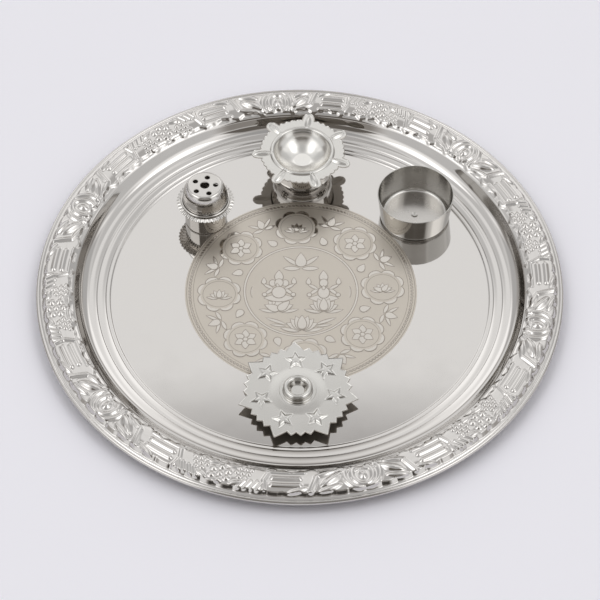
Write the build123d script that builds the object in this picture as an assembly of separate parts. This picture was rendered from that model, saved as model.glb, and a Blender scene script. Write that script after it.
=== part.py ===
from build123d import *
import math
import os

# Puja thali: a pressed stainless steel tray with four loose vessels standing on it.
# Millimetres. The origin is on the table under the middle of the tray, +Z up, and -Y faces the user.

# Tray: one disc of sheet, pressed, with its edge rolled into a bead
tray_radius = 150.0
tray_sheet = 0.6
bead_radius = 1.3
bead_height = 7.7
bead_curl_angle = 250.0
rim_curve_radius = 63.6
rim_fall = 12.0
rim_rise = 5.0
shoulder_radius = 1.8
wall_slope = 78.0
terrace_widths = (3.3, 5.3, 4.2)
terrace_rise = 0.55
riser_run = 0.7

# Every vessel is drawn from one gauge of sheet
vessel_sheet = 0.5

# Places of the vessels on the tray's floor, as shares of the floor's radius
diya_place_shares = (0.014, 0.824)
star_place_shares = (-0.010, -0.677)
pot_place_shares = (-0.507, 0.508)
katori_place_shares = (0.623, 0.532)

# Diya: a petalled lamp plate with a shallow bowl, carried by a spun cup
diya_turn = -8.4
diya_height = 21.0
diya_base_corner = 4.4
stand_taper = 0.9
bowl_radius = 16.3
bowl_depth = 10.3
bowl_clearance = 0.9
bowl_ring_radius = 0.8
plate_radius = 24.0
petal_count = 7
petal_reach = 29.5
petal_width = 5.2
petal_ridge_radius = 1.1
scallop_radius = 1.9
scallop_stand = 0.7
scallops_between_petals = 4

# Star stand: a seven-pointed plate with a socket, held up by a shallow dish
star_turn = 3.3
star_height = 4.9
star_reach = 33.9
star_points = 7
star_notch_radius = 28.0
star_tooth_radius = 30.2
star_notch_place_shares = (0.2, 0.4, 0.6, 0.8)
star_tooth_place_shares = (0.3, 0.5, 0.7)
star_foot_radius = 19.0
star_foot_corner = 1.2
small_star_place_radius = 20.5
small_star_reach = 5.6
small_star_waist_share = 0.42
small_star_rise = 0.7
small_star_points = 5
socket_flange_radius = 10.3
socket_radius = 8.2
socket_height = 4.2
socket_mouth_radius = 5.5
socket_floor_radius = 3.7
socket_depth = 3.6

# Incense pot: a deep cup with a scalloped collar and a pierced dome lid
pot_radius = 12.2
pot_corner = 1.2
collar_height = 17.2
collar_radius = 16.1
collar_scallop_radius = 1.5
collar_scallop_count = 28
collar_scallop_stand = 0.9
lid_clearance = 0.3
lid_skirt_depth = 3.0
lid_bead_radius = 0.75
lid_base_radius = 13.9
lid_top_radius = 10.0
lid_height = 13.1
lid_dome_bulge = 0.9
lid_edge_radius = 1.2
lid_centre_hole_radius = 2.55
lid_hole_radius = 1.4
lid_hole_place_radius = 6.4
lid_hole_count = 5
lid_hole_turn = 76.0

# Katori: a plain spun cup with a dimple in its floor
katori_height = 19.1
katori_base_radius = 20.1
katori_mouth_radius = 22.0
katori_corner = 1.6
dimple_radius = 2.4
dimple_depth = 0.3


def slope_point(centre, radius, slope):
    """Point on top of a round stretch where the sheet climbs outwards at the given slope."""
    angle = math.radians(slope)
    return (centre[0] - radius * math.sin(angle), centre[1] + radius * math.cos(angle))


def sheet_section(line, thickness, side):
    """Closed section of a sheet whose one face follows the line, drawn as radius and height."""
    outline = offset(line, thickness, side=side, closed=True)
    return make_face(outline.edges())


def spun(section):
    """Turn a section about the upright axis."""
    return revolve(Plane.XZ * section, Axis.Z, 360)


def spun_cup(base, mouth, height, corner):
    """Sheet cup with a rounded base corner and its mouth trimmed level."""
    line = FilletPolyline((0, 0), (base, 0), (mouth, height), radius=corner)
    cup = spun(sheet_section(line, vessel_sheet, Side.LEFT))
    return split(cup, Plane.XY.offset(height), keep=Keep.BOTTOM)


def cap_ball(radius, depth):
    """Radius of the ball that cuts a round hollow of the given mouth radius and depth."""
    return (radius**2 + depth**2) / (2 * depth)


def scalloped_disc(radius, scallop, stand, places):
    """Flat disc with round scallops that stand out from its edge at the given angles."""
    disc = Circle(radius)
    for angle in places:
        disc += Rot(0, 0, angle) * Pos(radius + stand - scallop) * Circle(scallop)
    return disc


# Section of the tray, worked inwards from the bead to the flat floor
bead_centre = (tray_radius - bead_radius, bead_height)
rim_centre = slope_point(bead_centre, bead_radius - rim_curve_radius, -rim_fall)
rim_start = slope_point(rim_centre, rim_curve_radius, rim_rise)
shoulder_centre = slope_point(rim_start, -shoulder_radius, rim_rise)
wall_top = slope_point(shoulder_centre, shoulder_radius, wall_slope)
foot_height = tray_sheet + terrace_rise * len(terrace_widths)
wall_radius = (wall_top[1] - foot_height) / (1 - math.cos(math.radians(wall_slope)))
wall_centre = slope_point(wall_top, wall_radius, wall_slope)
floor_radius = wall_centre[0] - sum(terrace_widths)


def tray():
    """Flat floor, three terraces, hollowed wall, arched rim and rolled edge in one sheet."""
    line = [Line((0, tray_sheet), (floor_radius, tray_sheet))]
    r, z = floor_radius, tray_sheet
    for width in terrace_widths:
        step = (r + riser_run, z + terrace_rise)
        r, z, start = r + width, z + terrace_rise, (r, z)
        line.append(Line(start, step))
        line.append(Line(step, (r, z)))
    line.append(CenterArc(wall_centre, wall_radius, -90, wall_slope))
    line.append(CenterArc(shoulder_centre, shoulder_radius, 90 + wall_slope, rim_rise - wall_slope))
    line.append(CenterArc(rim_centre, rim_curve_radius, 90 + rim_rise, -rim_rise - rim_fall))
    line.append(CenterArc(bead_centre, bead_radius, 90 - rim_fall, -bead_curl_angle))
    return spun(sheet_section(Wire(line), tray_sheet, Side.RIGHT))


def diya_stand():
    """Cup that the lamp plate sits on, with room inside its mouth for the bowl."""
    mouth = bowl_radius + vessel_sheet + bowl_clearance + vessel_sheet
    return spun_cup(mouth - stand_taper, mouth, diya_height - vessel_sheet, diya_base_corner)


def diya_plate():
    """Petalled plate on the cup's mouth, with its bowl sunk into the cup and a ring round the bowl."""
    petal_turn = 360 / petal_count
    scallop_turn = petal_turn / (scallops_between_petals + 2)
    petal_end = petal_reach - petal_width / 2
    ridge_start = bowl_radius + bowl_ring_radius
    ridge_length = petal_end - ridge_start
    ridge = Cylinder(petal_ridge_radius, ridge_length)
    ridge += Pos(0, 0, ridge_length / 2) * Sphere(petal_ridge_radius)
    ridge = split(Rot(0, 90, 0) * ridge, Plane.XY, keep=Keep.TOP)
    places = []
    petals = Sketch()
    ridges = Part()
    for petal in range(petal_count):
        angle = 90 + petal * petal_turn
        places += [angle + (place + 1.5) * scallop_turn for place in range(scallops_between_petals)]
        petals += Rot(0, 0, angle) * Pos(petal_end / 2) * Rectangle(petal_end, petal_width)
        petals += Rot(0, 0, angle) * Pos(petal_end) * Circle(petal_width / 2)
        ridges += Rot(0, 0, angle) * Pos(ridge_start + ridge_length / 2) * ridge
    outline = petals + scalloped_disc(plate_radius, scallop_radius, scallop_stand, places)
    plate = extrude(outline, vessel_sheet)
    ring = split(Torus(bowl_radius + bowl_ring_radius, bowl_ring_radius), Plane.XY, keep=Keep.TOP)
    ball = cap_ball(bowl_radius, bowl_depth)
    hollow = Pos(0, 0, ball - bowl_depth) * Sphere(ball)
    bowl = Pos(0, 0, ball - bowl_depth) * Sphere(ball + vessel_sheet)
    bowl = split(bowl, Plane.XY, keep=Keep.BOTTOM)
    raised = Pos(0, 0, vessel_sheet) * (ridges + ring)
    lowered = Pos(0, 0, vessel_sheet)
    return Pos(0, 0, diya_height - vessel_sheet) * (plate + raised + lowered * bowl - lowered * hollow)


def star_outline(corners):
    """Closed flat outline through corners that are given as angle and radius."""
    points = [Vector(radius, 0).rotate(Axis.Z, angle) for angle, radius in corners]
    return make_face(Polyline(*points, close=True))


def star_plate():
    """Plate with long points, three teeth between each two, and a small raised star behind each point."""
    turn = 360 / star_points
    stops = [(0, star_reach)]
    stops += [(share, star_notch_radius) for share in star_notch_place_shares]
    stops += [(share, star_tooth_radius) for share in star_tooth_place_shares]
    edge = [(90 + (point + share) * turn, r) for point in range(star_points) for share, r in sorted(stops)]
    plate = extrude(star_outline(edge), vessel_sheet)
    waist = small_star_reach * small_star_waist_share
    half_turn = 180 / small_star_points
    tips = [(k * half_turn, waist if k % 2 else small_star_reach) for k in range(2 * small_star_points)]
    small_star = extrude(star_outline(tips), small_star_rise)
    for point in range(star_points):
        place = Pos(small_star_place_radius, 0, vessel_sheet)
        plate += Rot(0, 0, 90 + point * turn) * place * small_star
    return Pos(0, 0, star_height - vessel_sheet) * plate


def star_socket():
    """Turned socket with a rounded lip and a tapering mouth, fixed on the star plate."""
    lip = (socket_radius - socket_mouth_radius) / 2
    floor = socket_height - socket_depth
    outside = Polyline((0, 0), (socket_flange_radius, 0), (socket_flange_radius, vessel_sheet),
                       (socket_radius, vessel_sheet), (socket_radius, socket_height - lip))
    top = CenterArc((socket_radius - lip, socket_height - lip), lip, 0, 180)
    inside = Polyline((socket_mouth_radius, socket_height - lip), (socket_floor_radius, floor),
                      (0, floor), (0, 0))
    section = make_face(outside.edges() + top.edges() + inside.edges())
    return Pos(0, 0, star_height) * spun(section)


def star_foot():
    """Shallow dish that holds the star plate off the tray."""
    return spun_cup(star_foot_radius, star_foot_radius, star_height - vessel_sheet, star_foot_corner)


def pot_cup():
    """Deep cup with its mouth spread into a scalloped collar."""
    cup = spun_cup(pot_radius, pot_radius, collar_height, pot_corner)
    places = [360 * place / collar_scallop_count for place in range(collar_scallop_count)]
    collar = scalloped_disc(collar_radius, collar_scallop_radius, collar_scallop_stand, places)
    collar -= Circle(pot_radius - vessel_sheet)
    return cup + Pos(0, 0, collar_height - vessel_sheet) * extrude(collar, vessel_sheet)


def pot_lid():
    """Dome with a rolled base on the collar, a skirt inside the cup's mouth, and holes for incense."""
    bead_middle = lid_clearance + lid_bead_radius
    bead_place = lid_base_radius - vessel_sheet / 2
    flat = lid_top_radius - lid_edge_radius
    top = Line((0, lid_height), (flat, lid_height))
    edge = CenterArc((flat, lid_height - lid_edge_radius), lid_edge_radius, 90, -60)
    side = SagittaArc(edge @ 1, (lid_base_radius, bead_middle), lid_dome_bulge)
    skirt_radius = pot_radius - vessel_sheet - lid_clearance
    section = sheet_section(Wire([top, edge, side]), vessel_sheet, Side.RIGHT)
    section += Pos(bead_place, bead_middle) * Circle(lid_bead_radius)
    web_width = bead_place - skirt_radius + vessel_sheet
    skirt_length = bead_middle + lid_skirt_depth
    section += Pos(bead_place, bead_middle) * Rectangle(web_width, bead_middle, align=Align.MAX)
    section += Pos(skirt_radius, bead_middle) * Rectangle(vessel_sheet, skirt_length, align=Align.MAX)
    lid = spun(section)
    drill = Cylinder(lid_hole_radius, lid_height)
    lid -= Pos(0, 0, lid_height) * Cylinder(lid_centre_hole_radius, lid_height)
    for hole in range(lid_hole_count):
        angle = lid_hole_turn + 360 * hole / lid_hole_count
        lid -= Rot(0, 0, angle) * Pos(lid_hole_place_radius, 0, lid_height) * drill
    return Pos(0, 0, collar_height) * lid


def katori():
    """Plain cup with a dimple in the middle of its floor."""
    cup = spun_cup(katori_base_radius, katori_mouth_radius, katori_height, katori_corner)
    ball = cap_ball(dimple_radius, dimple_depth)
    return cup - Pos(0, 0, vessel_sheet - dimple_depth + ball) * Sphere(ball)


def on_floor(place_shares, turn=0):
    """Place of a vessel that stands on the tray's floor."""
    across, back = [share * floor_radius for share in place_shares]
    return Pos(across, back, tray_sheet) * Rot(0, 0, turn)


diya_place = on_floor(diya_place_shares, diya_turn)
star_place = on_floor(star_place_shares, star_turn)
pot_place = on_floor(pot_place_shares)
katori_place = on_floor(katori_place_shares)

nodes = {
    "tray": tray(),
    "diya_stand": diya_place * diya_stand(),
    "diya_plate": diya_place * diya_plate(),
    "star_foot": star_place * star_foot(),
    "star_plate": star_place * star_plate(),
    "star_socket": star_place * star_socket(),
    "pot_cup": pot_place * pot_cup(),
    "pot_lid": pot_place * pot_lid(),
    "katori": katori_place * katori(),
}

os.makedirs("parts", exist_ok=True)
for name, solid in nodes.items():
    export_step(solid, f"parts/{name}.step")
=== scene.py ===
import bmesh
import bpy
import numpy as np
from itertools import count
from math import acos, atan2, cos, degrees, pi, radians, sin, sqrt
from mathutils import Matrix, Vector


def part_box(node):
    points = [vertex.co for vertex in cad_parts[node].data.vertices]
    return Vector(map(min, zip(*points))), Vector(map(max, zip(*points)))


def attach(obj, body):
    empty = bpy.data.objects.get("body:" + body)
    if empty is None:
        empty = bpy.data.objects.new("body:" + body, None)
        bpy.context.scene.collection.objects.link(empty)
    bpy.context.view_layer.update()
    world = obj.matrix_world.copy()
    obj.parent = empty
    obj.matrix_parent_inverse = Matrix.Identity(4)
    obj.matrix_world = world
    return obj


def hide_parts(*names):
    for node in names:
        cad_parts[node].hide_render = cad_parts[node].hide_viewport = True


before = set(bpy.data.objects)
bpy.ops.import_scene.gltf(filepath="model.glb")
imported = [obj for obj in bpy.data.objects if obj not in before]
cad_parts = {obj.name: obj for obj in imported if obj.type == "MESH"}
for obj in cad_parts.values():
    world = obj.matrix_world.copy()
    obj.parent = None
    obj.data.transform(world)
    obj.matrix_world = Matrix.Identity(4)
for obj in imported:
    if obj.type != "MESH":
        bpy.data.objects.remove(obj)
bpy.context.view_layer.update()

# Tray well: the middle of the tray, pressed from one disc of bright stainless steel 0.6 mm thick.
# A flat mirror floor climbs three low terraces to a rounded foot and a wall that leans out to the rim.
# Sizes are millimetres about each piece's own axis; into_frame brings a finished mesh to its place.
tray_radius = 1000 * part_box("tray")[1].x
sheet = 0.6
bead_radius = 1.3
bead_middle = (tray_radius - bead_radius, 7.7)
rim_curve = 63.6
rim_fall, rim_rise = 12, 5
shoulder_curve = 3.8
wall_slope = 49
foot_curve = 10.5
risers = ((107.5, 2.5), (109.9, 23.0), (115.0, 23.0))
riser_slopes = (38, 15, 8)
riser_hollow, riser_edge, riser_end = 1.2, 1.0, 6.0
foot_rows = 12
well_steps = 480


def slope_point(middle, radius, slope):
    """Point on a round stretch of a section where it climbs outwards at the given slope."""
    return (middle[0] - radius * sin(radians(slope)), middle[1] + radius * cos(radians(slope)))


def run_to(bm, point, r, z, hold=0.15):
    """Carry a section on in a straight line; a point held close to each end keeps its shading flat."""
    start, end = point.co.copy(), Vector((r, 0, z))
    length = (end - start).length
    shares = (hold / length, 1 - hold / length, 1) if length > 4 * hold else (1,)
    for share in shares:
        point = bmesh.ops.extrude_vert_indiv(bm, verts=[point])["verts"][0]
        point.co = start.lerp(end, share)
    return point


def bend(bm, point, middle, turn, steps):
    """Carry a section on round a middle; a positive turn bears right as the section runs outwards."""
    arc = bmesh.ops.spin(bm, geom=[point], cent=(middle[0], 0, middle[1]), axis=(0, 1, 0),
                         angle=radians(turn), steps=steps)
    return next(part for part in arc["geom_last"] if isinstance(part, bmesh.types.BMVert))


def step_up(bm, point, r, z, nose, last):
    """Carry a section up a step: a tight hollow, a small edge, a long nose. All but the last end level."""
    point = run_to(bm, point, r, z)
    point = bend(bm, point, (r, z + riser_hollow), -riser_slopes[0], 5)
    curves = ((riser_edge, riser_slopes[1], 4), (nose, riser_slopes[2], 4), (riser_end, 0, 3))
    slope = riser_slopes[0]
    for curve, next_slope, steps in curves[:2] if last else curves:
        middle = slope_point((point.co.x, point.co.z), -curve, slope)
        point = bend(bm, point, middle, slope - next_slope, steps)
        slope = next_slope
    return point


def spin_section(bm, steps, shares=20):
    """Turn a section about the upright axis: a share of the round is spun, then copied and merged."""
    share = 2 * pi / shares
    axis = {"cent": (0, 0, 0), "axis": (0, 0, 1)}
    bmesh.ops.spin(bm, geom=bm.verts[:] + bm.edges[:], angle=share, steps=steps // shares, **axis)
    everything = bm.verts[:] + bm.edges[:] + bm.faces[:]
    bmesh.ops.spin(bm, geom=everything, angle=2 * pi - share, steps=shares - 1, use_duplicate=True, **axis)
    bmesh.ops.remove_doubles(bm, verts=bm.verts, dist=2e-3)
    bmesh.ops.recalc_face_normals(bm, faces=bm.faces)


def face_up(bm):
    """Turn an open skin over if most of its area looks down."""
    if sum(face.normal.z * face.calc_area() for face in bm.faces) < 0:
        bmesh.ops.reverse_faces(bm, faces=bm.faces)


def into_frame(bm, name, materials, place=(0, 0, 0), turn=0, sharp=40):
    """Make a finished mesh an object: millimetres about its own axis become metres at its place."""
    bmesh.ops.rotate(bm, verts=bm.verts, cent=(0, 0, 0), matrix=Matrix.Rotation(radians(turn), 3, "Z"))
    bmesh.ops.scale(bm, verts=bm.verts, vec=(0.001, 0.001, 0.001))
    bmesh.ops.translate(bm, verts=bm.verts, vec=place)
    mesh = bpy.data.meshes.new(name)
    bm.to_mesh(mesh)
    bm.free()
    mesh.shade_smooth()
    mesh.set_sharp_from_angle(angle=radians(sharp))
    for material in materials:
        mesh.materials.append(material)
    piece = bpy.data.objects.new(name, mesh)
    bpy.context.scene.collection.objects.link(piece)
    return piece


def linear(code):
    """Linear colour of an sRGB hex code."""
    parts = [int(code[k:k + 2], 16) / 255 for k in (1, 3, 5)]
    return [c / 12.92 if c <= 0.04045 else ((c + 0.055) / 1.055) ** 2.4 for c in parts] + [1]


def add_node(tree, kind, inputs=None, **settings):
    """Add a node, set its settings, and set or link its inputs."""
    node = tree.nodes.new(kind)
    for name, value in settings.items():
        setattr(node, name, value)
    for name, value in (inputs or {}).items():
        if isinstance(value, bpy.types.NodeSocket):
            tree.links.new(value, node.inputs[name])
        else:
            node.inputs[name].default_value = value
    return node


def polished_steel(name, code, gloss, swell, swell_size):
    """Stainless steel buffed to a mirror: grey with a warm cast, faint haze where the buffing wheel
    lingered, and a long soft swell in the sheet that bends its reflections. Lengths in millimetres."""
    material = bpy.data.materials.new(name)
    material.use_nodes = True
    tree = material.node_tree
    tree.nodes.clear()
    place = add_node(tree, "ShaderNodeTexCoord").outputs["Object"]
    haze_size = 14
    haze = add_node(tree, "ShaderNodeTexNoise", {"Vector": place, "Scale": 1000 / haze_size, "Detail": 3.0})
    rough = add_node(tree, "ShaderNodeMapRange", {"Value": haze.outputs["Fac"], "From Min": 0.3,
                     "From Max": 0.7, "To Min": gloss[0], "To Max": gloss[1]})
    wave = add_node(tree, "ShaderNodeTexNoise", {"Vector": place, "Scale": 1000 / swell_size, "Detail": 1.0})
    bump = add_node(tree, "ShaderNodeBump", {"Height": wave.outputs["Fac"], "Strength": 1.0,
                    "Distance": swell / 1000})
    shader = add_node(tree, "ShaderNodeBsdfPrincipled", {"Base Color": linear(code), "Metallic": 1.0,
                      "Roughness": rough.outputs["Result"], "Normal": bump.outputs["Normal"]})
    add_node(tree, "ShaderNodeOutputMaterial", {"Surface": shader.outputs["BSDF"]})
    return material


rim_middle = slope_point(bead_middle, bead_radius - rim_curve, -rim_fall)
rim_start = slope_point(rim_middle, rim_curve, rim_rise)
shoulder_middle = slope_point(rim_start, -shoulder_curve, rim_rise)
wall_top = slope_point(shoulder_middle, shoulder_curve, wall_slope)

bm = bmesh.new()
point = bm.verts.new((0, 0, sheet))
for r, nose in risers:
    point = step_up(bm, point, r, point.co.z, nose, r == risers[-1][0])
# The last terrace runs on at its slope just so far that the rounded foot brings the wall to its top
last_slope = riser_slopes[-1]
easy, steep = radians(last_slope), radians(wall_slope)
foot_reach = wall_top[0] - point.co.x - foot_curve * (sin(steep) - sin(easy))
foot_climb = wall_top[1] - point.co.z - foot_curve * (cos(easy) - cos(steep))
last_run = (foot_reach * sin(steep) - foot_climb * cos(steep)) / sin(steep - easy)
point = run_to(bm, point, point.co.x + last_run * cos(easy), point.co.z + last_run * sin(easy))
foot_middle = slope_point((point.co.x, point.co.z), foot_curve, last_slope)
point = bend(bm, point, foot_middle, last_slope - wall_slope, foot_rows)
run_to(bm, point, *wall_top)
spin_section(bm, well_steps)
face_up(bm)
bmesh.ops.solidify(bm, geom=bm.faces[:], thickness=sheet)
tray_steel = polished_steel("polished_stainless_steel_tray", "#CCC9C6", (0.03, 0.07), 0.012, 24)
tray_well = into_frame(bm, "tray_well", [tray_steel])
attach(tray_well, "tray")
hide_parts("tray")

# Tray rim: the shoulder and arched border of the same sheet, embossed by the press with six repeats of one
# ornament: a rose of nested arches, leaves, a ribbon with two bars, a fan of strokes, a flower with berries.
# The embossing is moved into a fine skin, one stroke at a time, in millimetres along and across the rim.
rim_skins = (("tray_rim", 0, 1600, 9, 50), ("tray_rim_back", sheet, 720, 4, 18))
band_start = 130.6
rose_angles = (-13.5, 44.8, 95.5, 156.7, 219.6, 284.3)
half_repeat = 72.0
open_end_fade = 12
band_width = 18.0
outer_edge, outer_scallop, outer_pitch = 15.0, 0.8, 8
inner_edge, inner_waves = -1.2, ((0.7, 9), (0.4, 3.6))
outer_wall, inner_wall = 2.0, 2.2
ground_rise, ground_climb = 0.8, 0.07
flange_width, flange_lift = 4, 0.15
groove_place, groove_width, groove_depth = 17.6, 0.8, 0.4


def bell(away, half_width, rise=0.42):
    """Height of a rounded ridge at a distance from its middle; its rise is a share of the half width."""
    return rise * half_width * np.clip(1 - (away / half_width) ** 2, 0, 1) ** 2


def from_stroke(along, across, start, end):
    """Distance from a straight stroke, and the share of its length that has been run."""
    run = np.subtract(end, start)
    share = ((along - start[0]) * run[0] + (across - start[1]) * run[1]) / (run @ run)
    share = np.clip(share, 0, 1)
    return np.hypot(along - start[0] - share * run[0], across - start[1] - share * run[1]), share


def stroke(along, across, start, end, half_width):
    """Raised straight stroke with round ends."""
    return bell(from_stroke(along, across, start, end)[0], half_width)


def leaf(along, across, start, end, half_width, rise=0.42):
    """Raised pointed leaf."""
    away, share = from_stroke(along, across, start, end)
    return bell(away, np.maximum(half_width * np.sqrt(np.sin(pi * share)), 0.05), rise)


def arch(along, across, middle, radii, half_width, low=-90):
    """Raised stretch of an oval ring, left open below the given angle."""
    x, y = (along - middle[0]) / radii[0], (across - middle[1]) / radii[1]
    size = np.hypot(x, y)
    away = np.abs(size - 1) * np.hypot(radii[0] * x, radii[1] * y) / np.maximum(size, 1e-6)
    open_end = np.clip((np.degrees(np.arctan2(y, np.abs(x))) - low) / open_end_fade, 0, 1)
    return bell(away, half_width) * open_end


def dome(along, across, middle, radii, rise=0.42):
    """Raised oval bead."""
    away = np.hypot((along - middle[0]) / radii[0], (across - middle[1]) / radii[1])
    return radii[0] * bell(away, 1, rise)


def rim_relief(along, across):
    """Height of the ornament over half a repeat, from the rose's middle to the flower's."""
    outer = outer_edge + outer_scallop * np.sqrt(np.abs(np.sin(along * pi / outer_pitch)))
    inner = inner_edge + sum(depth * np.cos(along * pi / pitch) for depth, pitch in inner_waves)
    edge = np.clip((outer - across) / outer_wall, 0, 1)
    foot = np.clip((across - inner) / inner_wall, 0, 1)
    foot = foot ** 2 * (3 - 2 * foot)
    flat = np.clip(band_width - across, 0, flange_width)
    ground = edge * foot * (ground_rise + ground_climb * across)
    ground = ground - (1 - edge) * flat * (flange_lift - flat / (2 * rim_curve))
    ground = ground - bell(across - groove_place, groove_width, groove_depth)
    shapes = [
        dome(along, across, (0, 6.4), (2.4, 3.8)),
        arch(along, across, (0, 5.8), (5.4, 6.6), 1.9, -60),
        arch(along, across, (0, 5.0), (9.4, 9.6), 1.9, -30),
        arch(along, across, (4.8, 1.4), (4.6, 1.9), 1.0),
        leaf(along, across, (9.6, 2.2), (21.6, 10.8), 3.4),
        leaf(along, across, (11.2, 10.2), (22.6, 13.9), 2.3),
        leaf(along, across, (12.0, 0.6), (25.0, 4.4), 2.2),
        stroke(along, across, (23.2, 4.2), (26.6, 13.6), 1.8),
        leaf(along, across, (27.8, 11.0), (38.0, 14.8), 2.0),
        stroke(along, across, (32.0, 9.6), (45.4, 9.9), 1.9),
        stroke(along, across, (32.0, 5.2), (45.4, 5.4), 1.8),
        stroke(along, across, (29.5, 1.4), (47.0, 1.6), 1.1),
        stroke(along, across, (48.0, 2.0), (50.0, 7.4), 1.4),
        stroke(along, across, (50.0, 7.4), (49.0, 13.0), 1.4),
        dome(along, across, (72, 8.0), (2.0, 2.0)),
        dome(along, across, (72, 12.4), (2.6, 2.4)),
        dome(along, across, (72, 3.8), (2.6, 2.2)),
        dome(along, across, (68.2, 10.2), (2.4, 2.4)),
        dome(along, across, (68.2, 5.8), (2.4, 2.4)),
        leaf(along, across, (66.4, 13.0), (59.6, 10.6), 1.9),
        arch(along, across, (66.5, 0.4), (5.4, 1.8), 1.0, 0),
    ]
    for k in range(4):
        top = 52.4 + 3.1 * k
        shapes.append(stroke(along, across, (top, 14.4), (top - 2.8, 8.4 + 0.3 * k), 1.35))
    for row, berries in enumerate((3, 3, 2)):
        for k in range(berries):
            middle = (56.6 + 3.1 * k + 1.3 * row, 2.0 + 2.8 * row)
            shapes.append(dome(along, across, middle, (1.6, 1.6), 0.55))
    return ground + np.max(shapes, axis=0) * edge * foot


def emboss(bm):
    """Push the ornament out of the rim's skin, square to it."""
    points = np.array([vert.co for vert in bm.verts])
    angle = np.degrees(np.arctan2(points[:, 1], points[:, 0]))
    radius = np.hypot(points[:, 0], points[:, 1])
    roses = np.sort(np.array(rose_angles) % 360)
    gaps = np.diff(np.append(roses, roses[0] + 360))
    behind = np.searchsorted(roses, angle % 360) - 1
    passed = (angle - roses[behind]) % 360 / gaps[behind]
    along = half_repeat * (1 - np.abs(2 * passed - 1))
    height = rim_relief(along, radius - band_start)
    for vert, lift in zip(bm.verts, height.tolist()):
        vert.co += lift * vert.normal


for name, depth, steps, shoulder_rows, arch_rows in rim_skins:
    bm = bmesh.new()
    start = slope_point(shoulder_middle, shoulder_curve - depth, wall_slope)
    point = bm.verts.new((start[0], 0, start[1]))
    point = bend(bm, point, shoulder_middle, wall_slope - rim_rise, shoulder_rows)
    bend(bm, point, rim_middle, rim_rise + rim_fall, arch_rows)
    spin_section(bm, steps)
    face_up(bm)
    bm.normal_update()
    emboss(bm)
    if depth:
        bmesh.ops.reverse_faces(bm, faces=bm.faces)
    skin = into_frame(bm, name, [tray_steel], sharp=180)
    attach(skin, "tray")
    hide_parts("tray")

# Tray bead: the edge of the sheet, rolled under into a round bead that makes the tray stiff and safe.
# It is the same polished steel as the rim, and the rim runs into its upper side.
bead_sides = 20
upright = Matrix.Rotation(pi / 2, 4, "X")

bm = bmesh.new()
bead_spot = Matrix.Translation((bead_middle[0], 0, bead_middle[1]))
bmesh.ops.create_circle(bm, segments=bead_sides, radius=bead_radius, matrix=bead_spot @ upright)
spin_section(bm, well_steps)
tray_bead = into_frame(bm, "tray_bead", [tray_steel])
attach(tray_bead, "tray")
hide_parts("tray")

# Medallion: a round picture etched into the middle of the tray's floor. Acid has frosted the ground to a
# warm grey, and the leaves, petals and figures were masked, so they stay as bright as the floor around them.
# Both are skins a few hundredths of a millimetre proud of the floor, as the etching is too thin to model.
medallion_radius, medallion_bevel = 66.3, 0.05
medallion_steps = 240
ground_height = sheet + 0.02
motif_height = sheet + 0.03
motif_step, motif_levels = 0.003, 16
motif_sides, line_sides = 16, 96
outline_width = 0.32
etched_lines = ((31.6, 0.35), (32.9, 0.35), (61.6, 0.3), (65.4, 0.35))
bright_line = (32.25, 0.9)
border_leaves, border_leaf_place, border_leaf_lean = 180, 63.5, 60
cartouche_count, cartouche_turn = 8, 3
cartouche_place, cartouche_radius = 46.8, 9.6
cartouche_petals = 8
filling_size, lotus_drop = 6.8, 2.6
spray_place, bud_place, bud_lean = 49.5, 38.8, 35
medallion_place = Vector((0.0007, 0.0012, 0))
stamp_numbers = count(1)


def etched_steel(name, code):
    """Acid-etched stainless steel: a fine frosted grain that scatters light evenly, warmer than the polish.
    The real grit is about 0.05 mm; it is drawn at 0.6 mm so that it shows."""
    material = bpy.data.materials.new(name)
    material.use_nodes = True
    tree = material.node_tree
    tree.nodes.clear()
    place = add_node(tree, "ShaderNodeTexCoord").outputs["Object"]
    grit_size, cloud_size = 0.6, 30
    grit = add_node(tree, "ShaderNodeTexNoise", {"Vector": place, "Scale": 1000 / grit_size, "Detail": 2.0})
    cloud = add_node(tree, "ShaderNodeTexNoise", {"Vector": place, "Scale": 1000 / cloud_size,
                     "Detail": 3.0})
    rough = add_node(tree, "ShaderNodeMapRange", {"Value": cloud.outputs["Fac"], "To Min": 0.34,
                     "To Max": 0.46})
    bump = add_node(tree, "ShaderNodeBump", {"Height": grit.outputs["Fac"], "Strength": 0.25,
                    "Distance": 0.00005})
    shader = add_node(tree, "ShaderNodeBsdfPrincipled", {"Base Color": linear(code), "Metallic": 1.0,
                      "Roughness": rough.outputs["Result"], "Normal": bump.outputs["Normal"]})
    add_node(tree, "ShaderNodeOutputMaterial", {"Surface": shader.outputs["BSDF"]})
    return material


def lay(verts, place, turn, length, width, height):
    """Size a flat unit shape, turn its length towards an angle and move it to its place."""
    spread = Matrix.Translation((*place, height)) @ Matrix.Rotation(radians(turn), 4, "Z")
    for vert in verts:
        vert.co = spread @ Vector((vert.co.x * length / 2, vert.co.y * width / 2, 0))


def leaf_shape(x, y):
    """Draw a unit circle in to a point at both ends."""
    return y * sqrt(max(0, 1 - x * x))


def drop_shape(x, y):
    """Draw a unit circle out to one point, like a bud or a petal."""
    return y * sqrt(max(0, (1 - x) / 2)) * 1.3


def moon_shape(x, y):
    """Hollow a unit circle on one side, like a curling petal."""
    return y if y > 0 else -0.4 * y


def oval_shape(x, y):
    """Leave a unit circle as it is."""
    return y


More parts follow.
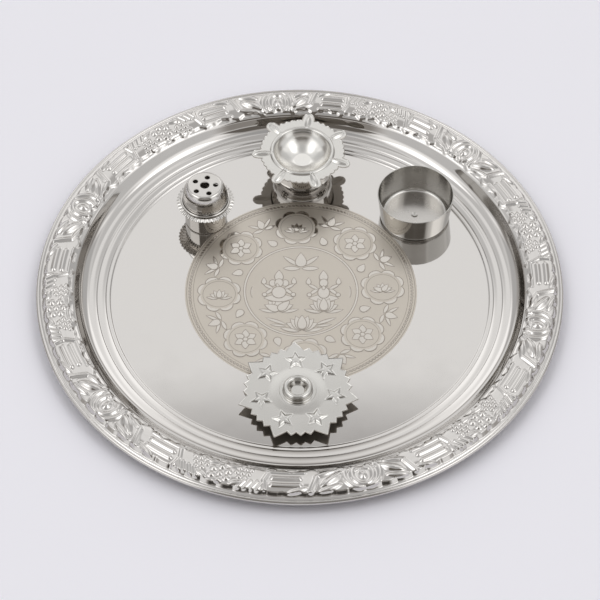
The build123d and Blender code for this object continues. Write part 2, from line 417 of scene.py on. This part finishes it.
def stamp(bm, shape, place, turn, length, width):
    """Lay one masked shape on the ground: a fine etched outline, then the bright metal inside it."""
    level = 2 * (next(stamp_numbers) % motif_levels)
    for material, grow in ((1, outline_width), (0, -outline_width / 2)):
        circle = bmesh.ops.create_circle(bm, cap_ends=True, segments=motif_sides, radius=1)["verts"]
        for vert in circle:
            vert.co.y = shape(vert.co.x, vert.co.y)
        height = motif_height + motif_step * (level + 1 - material)
        lay(circle, place, turn, length + 2 * grow, width + 2 * grow, height)
        for face in circle[0].link_faces:
            face.material_index = material


def ring(bm, place, radius, width):
    """Lay a round line on the ground."""
    edges = []
    for size in (radius - width / 2, radius + width / 2):
        circle = bmesh.ops.create_circle(bm, segments=line_sides, radius=1)["verts"]
        edges += list({edge for vert in circle for edge in vert.link_edges})
        lay(circle, place, 0, 2 * size, 2 * size, motif_height)
    return bmesh.ops.bridge_loops(bm, edges=edges)["faces"]


def around(middle, radius, angle):
    """Point at a distance and an angle from a middle."""
    return (middle[0] + radius * cos(radians(angle)), middle[1] + radius * sin(radians(angle)))


def spray(bm, place, turn, size):
    """Bud between two pairs of curling leaves."""
    for side in (-1, 1):
        low = around(place, 0.42 * size, turn + side * 82)
        high = around(place, 0.62 * size, turn + side * 42)
        stamp(bm, leaf_shape, low, turn + side * 88, 0.75 * size, 0.24 * size)
        stamp(bm, leaf_shape, high, turn + side * 52, 0.95 * size, 0.2 * size)
    stamp(bm, drop_shape, around(place, 0.55 * size, turn), turn, 0.8 * size, 0.5 * size)


def flower(bm, place, size):
    """Open flower of six petals round an eye."""
    for k in range(6):
        stamp(bm, drop_shape, around(place, 0.6 * size, 60 * k + 30), 60 * k + 30, 0.8 * size, 0.62 * size)
    stamp(bm, oval_shape, place, 0, 0.4 * size, 0.4 * size)


def lotus(bm, place, size, petals=5):
    """Lotus seen from the side: petals fanned over two low leaves, the front ones last."""
    for k in sorted(range(petals), key=lambda k: -abs(k - (petals - 1) / 2)):
        out = 90 + 130 * (k / (petals - 1) - 0.5)
        stamp(bm, drop_shape, around(place, 0.42 * size, out), out, 0.86 * size, 0.46 * size)
    for side in (-1, 1):
        low = (place[0] + side * 0.62 * size, place[1] - 0.06 * size)
        stamp(bm, leaf_shape, low, side * 14, 0.9 * size, 0.2 * size)


def seated_figure(bm, place, ears):
    """Small crowned figure seated on a lotus, with a pair of raised and a pair of lowered hands."""
    x, y = place
    lotus(bm, (x, y - 12.6), 10.5, 7)
    stamp(bm, leaf_shape, (x, y - 3.9), 0, 17.0, 5.4)
    for side in (-1, 1):
        stamp(bm, leaf_shape, (x + side * 5.4, y + 1.0), 90 + side * 48, 7.4, 2.2)
        stamp(bm, leaf_shape, (x + side * 6.0, y + 4.4), 90 - side * 58, 7.2, 2.0)
        stamp(bm, drop_shape, (x + side * 8.6, y + 8.6), 90, 4.8, 2.8)
        stamp(bm, oval_shape, (x + side * 8.2, y - 1.4), 0, 2.6, 2.6)
    stamp(bm, oval_shape, (x, y + 0.2), 90, 8.2, 8.0 if ears else 6.6)
    ear_shape = oval_shape if ears else moon_shape
    for side in (-1, 1):
        stamp(bm, ear_shape, (x + side * (2.6 + ears), y + 7.0), 90 * side, 4.6, 2.0 + 2 * ears)
    stamp(bm, drop_shape, (x, y + 12.6), 90, 7.6, 5.0)
    stamp(bm, oval_shape, (x, y + 7.2), 90, 5.6, 4.8)
    stamp(bm, leaf_shape, (x - 0.4 * ears, y + 3.6), 90 + 14 * ears, 6.6 if ears else 3.0, 2.0)
    for k in range(3):
        stamp(bm, oval_shape, (x + 1.7 * (k - 1), y - 0.8 + 0.8 * abs(k - 1)), 0, 1.2, 1.2)


bm = bmesh.new()
point = bm.verts.new((0, 0, ground_height))
point = run_to(bm, point, medallion_radius, ground_height)
run_to(bm, point, medallion_radius + medallion_bevel, sheet)
spin_section(bm, medallion_steps)
face_up(bm)
etched = etched_steel("acid_etched_stainless_steel", "#C9C2B8")
outline_steel = etched_steel("acid_etched_stainless_steel_line", "#A0988F")
medallion_ground = into_frame(bm, "medallion_ground", [etched], medallion_place)

bm = bmesh.new()
centre = (0, 0)
for radius, width in etched_lines:
    for face in ring(bm, centre, radius, width):
        face.material_index = 1
ring(bm, centre, *bright_line)
for k in range(border_leaves):
    angle = 360 / border_leaves * k
    stamp(bm, leaf_shape, around(centre, border_leaf_place, angle), angle + border_leaf_lean, 2.0, 0.8)
for k in range(cartouche_count):
    angle = 360 * k / cartouche_count + cartouche_turn
    middle = around(centre, cartouche_place, angle)
    for petal in range(cartouche_petals):
        out = angle + 360 / cartouche_petals * (petal + 0.5)
        stamp(bm, moon_shape, around(middle, cartouche_radius, out), out - 90, 8.0, 6.4)
    for face in ring(bm, middle, cartouche_radius - 0.3, 0.3):
        face.material_index = 1
    if k % 2:
        flower(bm, middle, filling_size)
    else:
        lotus(bm, (middle[0], middle[1] - lotus_drop), filling_size)
    between = angle + 180 / cartouche_count
    spray(bm, around(centre, spray_place, between), between, 9.0)
    stamp(bm, drop_shape, around(centre, bud_place, between), between + bud_lean, 6.4, 4.4)
seated_figure(bm, (-12.6, -1.4), 1)
seated_figure(bm, (13.0, -1.6), 0)
spray(bm, (0, 15.5), 90, 13.0)
lotus(bm, (0.6, -27.5), 11.5, 7)
for side in (-1, 1):
    stamp(bm, leaf_shape, (side * 14.0, -22.0), side * 22, 13.0, 2.0)
    stamp(bm, leaf_shape, (side * 13.0, -25.0), side * 8, 9.0, 1.6)
    stamp(bm, moon_shape, (side * 27.6, -1.0), -90 * side, 8.0, 2.0)
bmesh.ops.recalc_face_normals(bm, faces=bm.faces)
for face in bm.faces:
    if face.normal.z < 0:
        face.normal_flip()
masked_steel = polished_steel("masked_stainless_steel", "#C6C1BA", (0.06, 0.12), 0.012, 24)
medallion_motif = into_frame(bm, "medallion_motif", [masked_steel, outline_steel], medallion_place)
for skin in (medallion_ground, medallion_motif):
    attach(skin, "tray")

# Diya: an oil lamp of two pieces. The stand is a spun cup with a round base, welded under the lamp plate.
# The plate is cut with seven petals and small scallops, and pressed with a bowl, a ring and a rib per petal.
vessel_sheet = 0.5
diya_height = 21.0
stand_mouth, stand_taper, stand_corner = 18.2, 0.9, 7.5
bowl_radius = 16.3
bowl_radii, bowl_slopes = (4.9, 12.6, bowl_radius), (15, 33, 64)
ring_curve, ring_fall, ring_foot = 1.5, 62, 0.2
bowl_rows = 14
bowl_lip = 0.1
plate_radius = 24.0
petal_count = 7
petal_reach, petal_width, petal_taper = 29.5, 6.0, 0.12
scallop_radius, scallop_stand, scallop_count = 1.9, 0.7, 4
rib_width, rib_rise, rib_inset = 2.2, 0.4, 1.0
rib_gap, rib_fade = 0.6, 1.2
edge_burr = 0.18
diya_turn = -8.4
plate_rows, plate_steps = 22, 560
cup_steps = 160
quarter_turn = Matrix.Rotation(pi / 2, 3, "Z")


def foot_of(node):
    """Middle of a node's footprint at its lowest height, in metres."""
    low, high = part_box(node)
    return Vector(((low.x + high.x) / 2, (low.y + high.y) / 2, low.z))


def thicken(bm, thickness):
    """Give a skin its thickness on the hidden side; the new faces take the second material."""
    seen = set(bm.faces)
    bmesh.ops.solidify(bm, geom=bm.faces[:], thickness=thickness)
    for face in bm.faces:
        face.material_index = 0 if face in seen else 1


def cup_section(bm, base, mouth, height, corner, dimple=None):
    """Closed section of a sheet cup: inside from the middle out, over a round lip, and back outside."""
    lean = degrees(atan2(mouth - base, height))
    inner = corner - vessel_sheet
    inner_base = base - vessel_sheet
    if dimple:
        width, depth = dimple
        ball = (width ** 2 + depth ** 2) / (2 * depth)
        point = bm.verts.new((0, 0, vessel_sheet - depth))
        point = bend(bm, point, (0, vessel_sheet - depth + ball), -degrees(acos(1 - depth / ball)), 5)
    else:
        point = bm.verts.new((0, 0, vessel_sheet))
    point = run_to(bm, point, inner_base - inner, vessel_sheet)
    point = bend(bm, point, (inner_base - inner, corner), lean - 90, 8)
    lip = vessel_sheet / 2
    point = run_to(bm, point, mouth - vessel_sheet, height - lip)
    point = bend(bm, point, (mouth - lip, height - lip), 180, 8)
    outside = base + (mouth - base) * corner / height
    point = run_to(bm, point, outside, corner)
    point = bend(bm, point, (outside - corner, corner), 90, 8)
    run_to(bm, point, 0, 0)


def round_reach(angle, middle, radius):
    """How far a ray at an angle reaches inside a disc whose middle lies out along angle zero."""
    side = middle * np.sin(np.radians(angle))
    reach = middle * np.cos(np.radians(angle)) + np.sqrt(np.maximum(radius ** 2 - side ** 2, 0))
    return np.where(np.abs(side) < radius, reach, 0)


def petal_edge(angle):
    """Reach of the lamp plate's cut edge at an angle from a petal."""
    turn = 360 / petal_count
    angle = (angle + turn / 2) % turn - turn / 2
    half = petal_width / 2
    edge = np.maximum(plate_radius, round_reach(angle, petal_reach - half, half))
    off = np.radians(np.abs(angle))
    slant = np.maximum(np.sin(off) + petal_taper * np.cos(off), 1e-6)
    side = (half + petal_taper * (petal_reach - half)) / slant
    edge = np.where(side * np.cos(off) > petal_reach - half, edge, np.maximum(edge, side))
    scallop_place = plate_radius + scallop_stand - scallop_radius
    for k in range(scallop_count):
        place = turn / (scallop_count + 2) * (k + 1.5)
        for at in (place, place - turn):
            edge = np.maximum(edge, round_reach(angle - at, scallop_place, scallop_radius))
    return edge


def reshape(bm, move):
    """Move every point of a spun skin; the move takes and gives arrays of angle, radius and height."""
    points = np.array([vert.co for vert in bm.verts])
    angle = np.degrees(np.arctan2(points[:, 1], points[:, 0]))
    angle, radius, height = move(angle, np.hypot(points[:, 0], points[:, 1]), points[:, 2])
    turned = np.radians(angle)
    moved = np.stack((radius * np.cos(turned), radius * np.sin(turned), height), 1)
    for vert, co in zip(bm.verts, moved.tolist()):
        vert.co = co


def cut_petals(angle, radius, height):
    """Draw the flat of the lamp plate out to its cut edge and raise a rib on each petal."""
    flat = radius > flat_start - 1e-3
    share = np.clip((radius - flat_start) / (plate_radius - flat_start), 0, 1)
    radius = np.where(flat, flat_start + share * (petal_edge(angle) - flat_start), radius)
    turn = 360 / petal_count
    off = np.radians((angle + turn / 2) % turn - turn / 2)
    along, across = radius * np.cos(off), radius * np.sin(off)
    rib_ends = (bowl_radius + rib_inset, 0), (petal_reach - rib_inset, 0)
    rib = leaf(along, across, *rib_ends, rib_width, rib_rise)
    lift = rib * np.clip((radius - bowl_radius - rib_gap) / rib_fade, 0, 1)
    return angle, radius, height + lift + edge_burr * (share > 0.99)


diya_foot = foot_of("diya_stand")
# The polish on the vessels is a little softer than the tray's
vessel_steel = polished_steel("polished_stainless_steel_vessel", "#C9C6C2", (0.05, 0.1), 0.006, 9)

bm = bmesh.new()
cup_section(bm, stand_mouth - stand_taper, stand_mouth, diya_height - vessel_sheet, stand_corner)
spin_section(bm, cup_steps)
diya_stand = into_frame(bm, "diya_cup", [vessel_steel], diya_foot)
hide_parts("diya_stand")

bm = bmesh.new()
bowl_bends = []
for r, next_r, slope, next_slope in zip(bowl_radii, bowl_radii[1:], bowl_slopes, bowl_slopes[1:]):
    curve = (next_r - r) / (sin(radians(next_slope)) - sin(radians(slope)))
    bowl_bends.append((curve, slope, next_slope))
bowl_climb = sum(curve * (cos(radians(low)) - cos(radians(high))) for curve, low, high in bowl_bends)
point = run_to(bm, bm.verts.new((0, 0, diya_height - bowl_climb)), bowl_radii[0], diya_height - bowl_climb)
for curve, slope, next_slope in bowl_bends:
    middle = slope_point((point.co.x, point.co.z), curve, slope)
    point = bend(bm, point, middle, slope - next_slope, bowl_rows)
middle = slope_point((point.co.x, point.co.z), -ring_curve, bowl_slopes[-1])
point = bend(bm, point, middle, bowl_slopes[-1] + ring_fall, bowl_rows)
flat_start = point.co.x + ring_foot
point = run_to(bm, point, flat_start, diya_height)
for row in range(plate_rows):
    share = (row + 1) / plate_rows
    point = run_to(bm, point, flat_start + (plate_radius - flat_start) * share, diya_height)
spin_section(bm, plate_steps)
face_up(bm)
reshape(bm, cut_petals)
bmesh.ops.rotate(bm, verts=bm.verts, cent=(0, 0, 0), matrix=quarter_turn)
bm.normal_update()
thicken(bm, vessel_sheet)
for face in bm.faces:
    if face.material_index == 0 and face.calc_center_median().z < diya_height - bowl_lip:
        face.material_index = 2
# Satin sheet as it was rolled, with dull undersides; the bowl is a softer satin whose lighter colour is
# painted light, brightening its inside
satin_steel = polished_steel("satin_stainless_steel", "#CECCC8", (0.13, 0.19), 0.014, 14)
dull_steel = polished_steel("unpolished_stainless_steel", "#C9C4BD", (0.5, 0.62), 0.004, 4)
bowl_steel_painted_light = polished_steel("stainless_steel_bowl_painted_light", "#E3E1DD", (0.19, 0.25), 0.014, 14)
plate_steels = [satin_steel, dull_steel, bowl_steel_painted_light]
diya_plate = into_frame(bm, "diya_lamp_plate", plate_steels, diya_foot, diya_turn, 50)
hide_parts("diya_plate")
for piece in (diya_stand, diya_plate):
    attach(piece, "diya")

# Star stand: a holder for a candle or cone, of three pieces. A low dish lifts a plate with seven points.
# Three teeth are cut between each two points, a small star is pressed behind each point, and a turned socket
# is fixed on the middle.
star_height = 4.9
star_points = 7
star_turn = 3.3
star_reach, star_tooth, star_notch = 33.9, 30.2, 28.0
star_edge = ((0, star_reach), (0.2, star_notch), (0.3, star_tooth), (0.4, star_notch), (0.5, star_tooth),
             (0.6, star_notch), (0.7, star_tooth), (0.8, star_notch), (1, star_reach))
burr_width = 0.1
small_star_place, small_star_reach, small_star_waist = 20.8, 6.6, 0.47
small_star_rise, small_star_bevel = 0.85, 1.9
small_star_turn = 72
boss_radius, boss_rise = 16.5, 0.2
dish_radius, dish_corner = 19.0, 1.2
flange_radius, flange_corner = 10.3, 0.3
plate_hole = flange_radius - 1
socket_radius, socket_height = 8.3, 4.2
socket_mouth, socket_floor, socket_depth = 5.0, 3.6, 3.6
socket_fillet = 0.4
star_rows, star_steps = 56, 420
socket_steps = 120


def straight_edge(share, turn, corners):
    """Reach of an outline of straight edges between corners given as shares of a turn and reaches."""
    reach = np.zeros_like(share)
    for (first, low), (last, high) in zip(corners, corners[1:]):
        inside = (share >= first) & (share <= last)
        gap = np.radians((last - first) * turn)
        on = np.radians((share - first) * turn)
        line = np.sin(gap) / (np.sin(gap - on) / low + np.sin(on) / high)
        reach = np.where(inside, line, reach)
    return reach


def cut_star(angle, radius, height):
    """Draw the plate out to its points and teeth, and raise a small star behind each point."""
    turn = 360 / star_points
    share = angle % 360 / turn % 1
    edge = straight_edge(share, turn, star_edge)
    rim = radius > star_reach - burr_width
    radius = plate_hole + (radius - plate_hole) * (edge - plate_hole) / (star_reach - plate_hole)
    off = np.radians((angle + turn / 2) % turn - turn / 2)
    x, y = radius * np.cos(off) - small_star_place, radius * np.sin(off)
    waist = small_star_reach * small_star_waist
    corners = ((0, small_star_reach), (0.5, waist), (1, small_star_reach))
    tip_share = np.degrees(np.arctan2(y, x)) % small_star_turn / small_star_turn
    gauge = np.hypot(x, y) / straight_edge(tip_share, small_star_turn, corners)
    slope = np.clip((1 - gauge) * waist / small_star_bevel, 0, 1)
    boss_share = np.clip((radius - flange_radius) / (boss_radius - flange_radius), 0, 1)
    boss = boss_rise * (1 - boss_share ** 2) ** 2
    return angle, radius, height + small_star_rise * np.sin(slope * pi / 2) + boss + edge_burr * rim


star_foot = foot_of("star_foot")

bm = bmesh.new()
cup_section(bm, dish_radius, dish_radius, star_height - vessel_sheet, dish_corner)
spin_section(bm, cup_steps)
star_dish = into_frame(bm, "star_dish", [dull_steel], star_foot)
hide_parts("star_foot")

bm = bmesh.new()
point = bm.verts.new((plate_hole, 0, star_height))
for row in range(star_rows):
    share = (row + 1) / star_rows
    point = run_to(bm, point, plate_hole + (star_reach - plate_hole) * share, star_height)
spin_section(bm, star_steps)
face_up(bm)
reshape(bm, cut_star)
bmesh.ops.rotate(bm, verts=bm.verts, cent=(0, 0, 0), matrix=quarter_turn)
bm.normal_update()
thicken(bm, vessel_sheet)
star_plate = into_frame(bm, "star_toothed_plate", [satin_steel, dull_steel], star_foot, star_turn, 35)
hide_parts("star_plate")

bm = bmesh.new()
lip = (socket_radius - socket_mouth) / 2
lip_level = star_height + socket_height - lip
socket_base = star_height + socket_height - socket_depth
flange_top = star_height + vessel_sheet
point = bm.verts.new((0, 0, socket_base))
point = run_to(bm, point, socket_floor, socket_base)
point = run_to(bm, point, socket_mouth, lip_level)
point = bend(bm, point, (socket_mouth + lip, lip_level), 180, 12)
point = run_to(bm, point, socket_radius, flange_top + socket_fillet)
point = bend(bm, point, (socket_radius + socket_fillet, flange_top + socket_fillet), -90, 4)
point = run_to(bm, point, flange_radius - flange_corner, flange_top)
point = bend(bm, point, (flange_radius - flange_corner, flange_top - flange_corner), 90, 4)
run_to(bm, point, flange_radius, star_height)
spin_section(bm, socket_steps)
face_up(bm)
star_socket = into_frame(bm, "star_turned_socket", [satin_steel], star_foot, 0, 50)
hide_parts("star_socket")
for piece in (star_dish, star_plate, star_socket):
    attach(piece, "star_stand")

# Incense pot: a deep drawn cup whose mouth is spread into a scalloped collar. It is polished like the lamp.
# The collar droops a little towards its toothed edge, and the lid's rolled base sits on it.
pot_radius, pot_corner = 12.2, 1.2
collar_height, collar_radius = 17.2, 16.1
tooth_radius, tooth_stand, tooth_count = 1.2, 0.6, 40
collar_hole = pot_radius - vessel_sheet
collar_wave, collar_droop, crimp_start = 0.12, 1.0, 0.3
collar_rows, steps_per_tooth = 10, 12
pot_steps = 120


def tooth_edge(angle):
    """Reach of the collar's scalloped edge at an angle."""
    turn = 360 / tooth_count
    off = (angle + turn / 2) % turn - turn / 2
    tooth_place = collar_radius + tooth_stand - tooth_radius
    return np.maximum(collar_radius, round_reach(off, tooth_place, tooth_radius))


def cut_teeth(angle, radius, height):
    """Draw the collar out to its scallops, crimp them lightly and let the collar droop."""
    share = np.clip((radius - collar_hole) / (collar_radius - collar_hole), 0, 1)
    wave = np.cos(np.radians(angle * tooth_count)) * np.clip(share - crimp_start, 0, 1)
    radius = collar_hole + share * (tooth_edge(angle) - collar_hole)
    return angle, radius, height + collar_wave * wave - collar_droop * share ** 2


pot_foot = foot_of("pot_cup")

bm = bmesh.new()
cup_section(bm, pot_radius, pot_radius, collar_height - vessel_sheet / 2, pot_corner)
spin_section(bm, pot_steps)
for face in bm.faces:
    middle = face.calc_center_median()
    inside = middle.z > vessel_sheet / 2 and middle.xy.length < pot_radius - vessel_sheet / 2
    face.material_index = 1 if inside else 0
pot_cup = into_frame(bm, "pot_deep_cup", [vessel_steel, dull_steel], pot_foot)

bm = bmesh.new()
point = bm.verts.new((collar_hole, 0, collar_height))
for row in range(collar_rows):
    share = (row + 1) / collar_rows
    point = run_to(bm, point, collar_hole + (collar_radius - collar_hole) * share, collar_height)
spin_section(bm, steps_per_tooth * tooth_count)
face_up(bm)
reshape(bm, cut_teeth)
bm.normal_update()
bmesh.ops.solidify(bm, geom=bm.faces[:], thickness=vessel_sheet)
pot_collar = into_frame(bm, "pot_collar", [vessel_steel], pot_foot, 0, 50)
for piece in (pot_cup, pot_collar):
    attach(piece, "pot")
    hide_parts("pot_cup")

# Pot lid: a pressed dome with a flat top, pierced with one large and five small holes for incense sticks.
# Its base is rolled into a bead that rests on the collar, and a short skirt inside it keeps it centred.
lid_height = 13.1
lid_flat, lid_crown, lid_crown_turn = 8.9, 2.2, 52
lid_base, lid_bulge = 13.1, 0.9
lid_bead, lid_bead_place, lid_bead_flat, lid_bead_cover = 0.75, 13.7, 0.6, 0.8
hole_dressing = 0.25
lid_clearance, skirt_depth = 0.3, 3.0
centre_hole, centre_hole_sides = 2.55, 40
small_hole, small_hole_sides = 1.4, 28
small_hole_place, small_hole_count, small_hole_turn = 6.3, 5, 77.5
small_hole_middle = (0, -0.4)
lid_steps, lid_bead_sides = 120, 16

lid_foot = pot_foot + Vector((0, 0, collar_height / 1000))
bead_level = lid_clearance + lid_bead * lid_bead_flat

bm = bmesh.new()
point = bm.verts.new((lid_flat, 0, lid_height))
point = bend(bm, point, (lid_flat, lid_height - lid_crown), lid_crown_turn, 10)
chord = Vector((lid_base - point.co.x, bead_level + lid_bead_cover * lid_bead - point.co.z))
curve = (chord.length_squared / 4 + lid_bulge ** 2) / (2 * lid_bulge)
inwards = Vector((chord.y, -chord.x)).normalized() * (curve - lid_bulge)
bulge_middle = (point.co.x + chord.x / 2 + inwards.x, point.co.z + chord.y / 2 + inwards.y)
bend(bm, point, bulge_middle, 2 * degrees(acos(1 - lid_bulge / curve)), 14)
spin_section(bm, lid_steps)
top = [edge for edge in bm.edges if edge.is_boundary and edge.verts[0].co.z > lid_height - 1e-3]
holes = [((0, 0), centre_hole, centre_hole_sides)]
for k in range(small_hole_count):
    angle = small_hole_turn + 360 * k / small_hole_count
    holes.append((around(small_hole_middle, small_hole_place, angle), small_hole, small_hole_sides))
for place, radius, sides in holes:
    rings = []
    for drop in (0, hole_dressing):
        spot = Matrix.Translation((*place, lid_height - drop))
        size = radius + hole_dressing - drop
        hole = bmesh.ops.create_circle(bm, segments=sides, radius=size, matrix=spot)["verts"]
        rings.append(list({edge for vert in hole for edge in vert.link_edges}))
    top += rings[0]
    bmesh.ops.bridge_loops(bm, edges=rings[0] + rings[1])
bmesh.ops.triangle_fill(bm, edges=top, use_beauty=True, normal=(0, 0, 1))
bmesh.ops.recalc_face_normals(bm, faces=bm.faces)
face_up(bm)
thicken(bm, vessel_sheet)
pot_lid = into_frame(bm, "pot_pierced_lid", [vessel_steel, dull_steel], lid_foot)

bm = bmesh.new()
bead_spot = Matrix.Translation((lid_bead_place, 0, bead_level)) @ Matrix.Diagonal((1, 1, lid_bead_flat, 1))
bmesh.ops.create_circle(bm, segments=lid_bead_sides, radius=lid_bead, matrix=bead_spot @ upright)
spin_section(bm, lid_steps)
lid_ring = into_frame(bm, "pot_lid_bead", [vessel_steel], lid_foot)

bm = bmesh.new()
skirt_radius = pot_radius - vessel_sheet - lid_clearance
point = run_to(bm, bm.verts.new((lid_bead_place, 0, bead_level)), skirt_radius, bead_level)
run_to(bm, point, skirt_radius, -skirt_depth)
spin_section(bm, lid_steps)
bmesh.ops.solidify(bm, geom=bm.faces[:], thickness=vessel_sheet)
lid_skirt = into_frame(bm, "pot_lid_skirt", [vessel_steel], lid_foot)
for piece in (pot_lid, lid_ring, lid_skirt):
    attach(piece, "lid")
    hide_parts("pot_lid")

# Katori: a small plain cup for powder or rice, spun from one disc of steel and left with a satin finish.
# Its walls lean out a little, its lip is dressed round, and a punch mark dimples the middle of its floor.
katori_base, katori_mouth = 20.1, 22.0
katori_height, katori_corner = 19.1, 2.6
dimple_radius, dimple_depth = 2.0, 0.42
floor_tilt = 0.9

bm = bmesh.new()
cup_section(bm, katori_base, katori_mouth, katori_height, katori_corner, (dimple_radius, dimple_depth))
spin_section(bm, cup_steps)
for face in bm.faces:
    low_inside = vessel_sheet / 2 < face.calc_center_median().z < katori_corner / 2
    face.material_index = 1 if low_inside and face.normal.z > floor_tilt else 0
# The wall keeps the satin of the spinning lathe, and the floor inside is a little duller
cup_steel = polished_steel("satin_stainless_steel_cup", "#C1BFBB", (0.12, 0.17), 0.01, 12)
cup_floor_steel = polished_steel("brushed_stainless_steel_cup", "#C5C2BE", (0.24, 0.3), 0.01, 12)
katori = into_frame(bm, "katori_cup", [cup_steel, cup_floor_steel], foot_of("katori"))
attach(katori, "katori")
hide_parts("katori")

# Studio: a pale paper floor under even, soft light, with the room in front of the tray left dark.
# The camera stands where the photograph was taken from, a little over half way up.
scene = bpy.context.scene
floor_half = 6.0
paper_roughness = 0.9
room_strength = 1.12

bm = bmesh.new()
bmesh.ops.create_grid(bm, x_segments=1, y_segments=1, size=1000 * floor_half)
# Uncoated paper has no gloss, so it shows the tray's shadow and nothing else
paper = bpy.data.materials.new("matte_white_paper")
paper.use_nodes = True
paper_shader = paper.node_tree.nodes["Principled BSDF"]
paper_shader.inputs["Base Color"].default_value = linear("#F9F8FF")
paper_shader.inputs["Roughness"].default_value = paper_roughness
paper_floor = into_frame(bm, "paper_floor", [paper])

world = bpy.data.worlds.new("studio")
world.use_nodes = True
scene.world = world
tree = world.node_tree
tree.nodes.clear()
towards = add_node(tree, "ShaderNodeTexCoord").outputs["Generated"]


def window(value, low, high, soft):
    """One between two values and nothing outside them, with soft edges."""
    rise = add_node(tree, "ShaderNodeMapRange", {"Value": value, "From Min": low - soft,
                    "From Max": low + soft}, interpolation_type="SMOOTHSTEP")
    fall = add_node(tree, "ShaderNodeMapRange", {"Value": value, "From Min": high + soft,
                    "From Max": high - soft}, interpolation_type="SMOOTHSTEP")
    both = {0: rise.outputs["Result"], 1: fall.outputs["Result"]}
    return add_node(tree, "ShaderNodeMath", both, operation="MULTIPLY").outputs["Value"]


def panel(below, turns, climbs, soft, light):
    """Lay a soft panel of light over the room: degrees round from the camera's side, and up."""
    both = {0: window(away, *turns, soft), 1: window(climb, *climbs, soft)}
    share = add_node(tree, "ShaderNodeMath", both, operation="MULTIPLY").outputs["Value"]
    mix = add_node(tree, "ShaderNodeMixRGB", {"Fac": share, "Color1": below, "Color2": light})
    return mix.outputs["Color"]


def grey(level, warmth=0.0):
    """Light of one strength, a little warmer than white."""
    return (level * (1 + warmth), level, level * (1 - warmth), 1)


# Away is the turn from the camera's side to either hand, climb the height over the floor, both in degrees
axes = add_node(tree, "ShaderNodeSeparateXYZ", {"Vector": towards}).outputs
front = add_node(tree, "ShaderNodeMath", {0: axes["Y"], 1: -1.0}, operation="MULTIPLY").outputs["Value"]
turn = add_node(tree, "ShaderNodeMath", {0: axes["X"], 1: front}, operation="ARCTAN2").outputs["Value"]
turn = add_node(tree, "ShaderNodeMath", {0: turn}, operation="DEGREES").outputs["Value"]
away = add_node(tree, "ShaderNodeMath", {0: turn}, operation="ABSOLUTE").outputs["Value"]
climb = add_node(tree, "ShaderNodeMath", {0: axes["Z"]}, operation="ARCSINE").outputs["Value"]
climb = add_node(tree, "ShaderNodeMath", {0: climb}, operation="DEGREES").outputs["Value"]
# Pale walls and ceiling come first; lamps, dim corners and the dark side by the camera are laid over them
all_round = (-1, 181)
light = panel(grey(0.42, 0.04), all_round, (32, 100), 10, grey(1.16, 0.003))
light = panel(light, (40, 108), (14, 44), 6, grey(0.68))
light = panel(light, (138, 181), (-5, 21), 5, grey(0.9))
light = panel(light, (100, 123), (4, 30), 5, grey(0.26, 0.05))
light = panel(light, (-1, 70), (-9, 5), 4, grey(0.85))
light = panel(light, (100, 164), (46, 68), 6, grey(0.7))
light = panel(light, all_round, (66, 95), 6, grey(0.78))
light = panel(light, (118, 150), (22, 45), 5, grey(0.56))
light = panel(light, (152, 169), (28, 43), 3, grey(1.35))
light = panel(light, (160, 181), (44, 60), 4, grey(1.0))
light = panel(light, (173, 181), (17, 26), 3, grey(0.22, 0.05))
light = panel(light, (168, 181), (54.3, 76), 0.9, grey(0.55, 0.01))
light = panel(light, (-1, 50), (60, 88), 5, grey(0.55, 0.02))
light = panel(light, (64, 122), (57, 72), 6, grey(2.1))
light = panel(light, all_round, (77, 95), 4, grey(0.45))
light = panel(light, (37, 62), (1, 24), 4, grey(0.95))
light = panel(light, (-1, 32), (7, 22), 4, grey(0.06, 0.08))
light = panel(light, (-1, 37), (22, 40), 5, grey(0.3, 0.06))
light = panel(light, (-1, 40), (42, 68), 3, grey(0.14, 0.1))
room = add_node(tree, "ShaderNodeBackground", {"Color": light, "Strength": room_strength})
add_node(tree, "ShaderNodeOutputWorld", {"Surface": room.outputs["Background"]})

view_elevation = radians(52.01)
view_distance = 1.483
view_target = Vector((0.00015, -0.00556, 0.0006))
view_line = Vector((0, cos(view_elevation), -sin(view_elevation)))
camera_data = bpy.data.cameras.new("camera")
camera_data.lens = 156
camera_data.sensor_width = 36
camera = bpy.data.objects.new("camera", camera_data)
camera.location = view_target - view_distance * view_line
camera.rotation_euler = view_line.to_track_quat("-Z", "Y").to_euler()
scene.collection.objects.link(camera)
scene.camera = camera
scene.view_settings.view_transform = "Standard"
